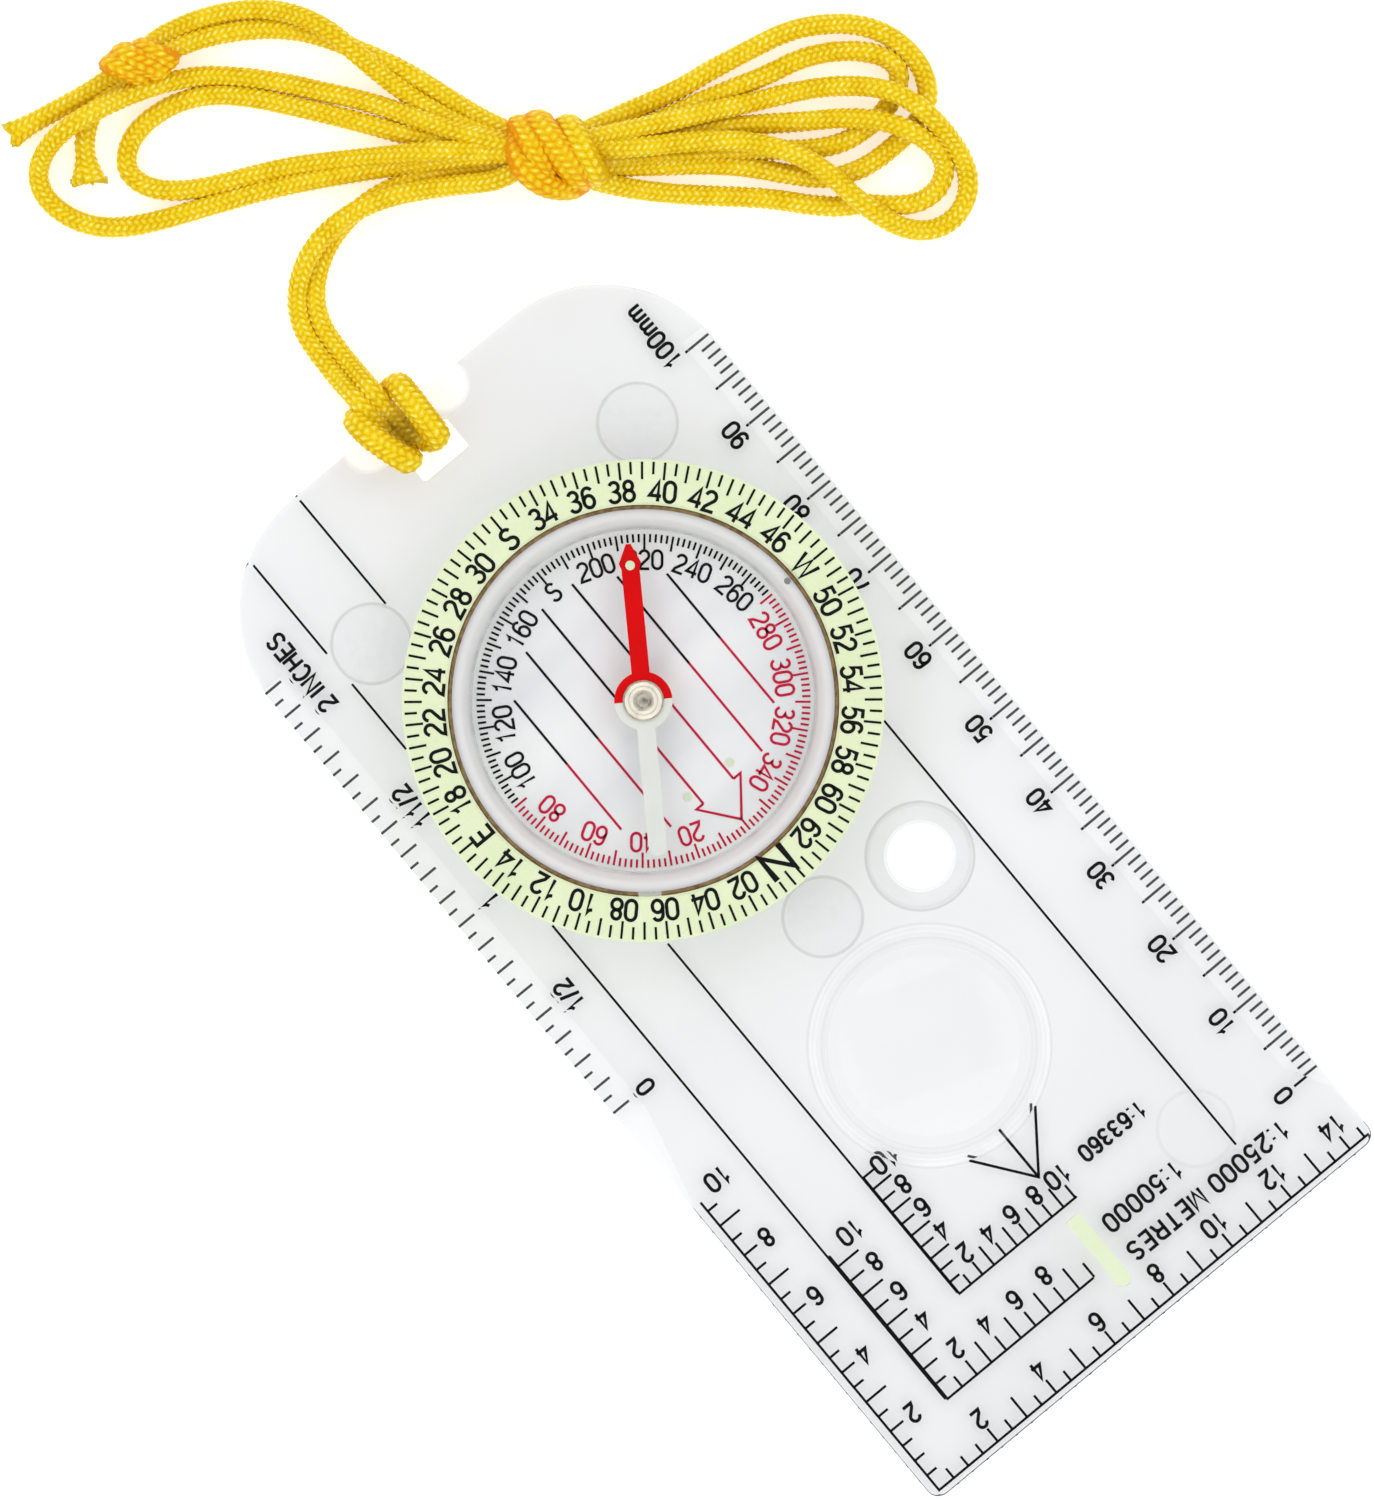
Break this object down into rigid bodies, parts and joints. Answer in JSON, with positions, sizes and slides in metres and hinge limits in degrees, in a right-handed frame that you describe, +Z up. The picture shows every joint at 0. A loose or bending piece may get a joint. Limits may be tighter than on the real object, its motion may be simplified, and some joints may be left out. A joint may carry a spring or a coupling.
{
  "type": "baseplate compass",
  "caption": "Clear baseplate compass with a turning luminous dial, a needle in a capsule, map scales, a lens and a braided yellow lanyard in a tied hank.",
  "frame": {"origin": "on the surface that the feet stand on, under the middle of the baseplate", "axes": "+Z up, +Y the direction of travel, along the baseplate, +X to the right of it seen from above"},
  "size_m": [0.0952, 0.1733, 0.0094],
  "materials": {
    "clear_acrylic": "clear moulded acrylic, polished",
    "clear_capsule": "clear polished acrylic",
    "luminous_dial": "translucent luminous plastic, satin",
    "luminous_paint": "phosphorescent, pale green",
    "clear_silicone": "clear soft silicone",
    "frosted_disc": "pale frosted sheet with a printed scale",
    "bronze_wire": "drawn wire",
    "plug_grey": "dark grey",
    "brass": "turned",
    "steel": "ground",
    "nickel": "nickel plated, turned rings",
    "red_plastic": "signal red",
    "white_plastic": "pale green white, translucent",
    "jewel": "synthetic jewel",
    "yellow_cord": "braided nylon, golden yellow"
  },
  "bodies": {
    "base": {"baseplate": "clear_acrylic", "foot_front": "clear_silicone", "foot_rear_left": "clear_silicone", "foot_rear_right": "clear_silicone", "index_bar": "luminous_paint", "lanyard_hitch": "yellow_cord", "lanyard_lead_a": "yellow_cord", "lanyard_lead_b": "yellow_cord", "lanyard_end_a": "yellow_cord", "lanyard_end_b": "yellow_cord", "lanyard_tail_a": "yellow_cord", "lanyard_tail_b": "yellow_cord", "hank_knot": "yellow_cord", "hank_near_loops": "yellow_cord", "hank_far_loops": "yellow_cord", "end_knot": "yellow_cord"},
    "dial": {"bezel_ring": "luminous_dial", "capsule_dish": "clear_capsule", "capsule_lid": "clear_capsule", "fill_plug": "plug_grey", "snap_ring": "bronze_wire", "scale_disc": "frosted_disc", "orienting_dot_left": "luminous_paint", "orienting_dot_right": "luminous_paint", "pivot_bush": "brass", "pivot_pin": "steel"},
    "needle": {"needle_magnet": "steel", "needle_red_half": "red_plastic", "needle_white_half": "white_plastic", "needle_cap": "nickel", "jewel_cup": "jewel", "needle_dot": "luminous_paint"}
  },
  "joints": [
    {"name": "dial_turn", "type": "hinge", "parent": "base", "child": "dial", "pos_m": [0, -0.0222, 0.0036], "axis": [0, 0, 1], "continuous": true},
    {"name": "needle_swing", "type": "hinge", "parent": "dial", "child": "needle", "pos_m": [0, -0.0222, 0.0051], "axis": [0, 0, 1], "continuous": true}
  ]
}
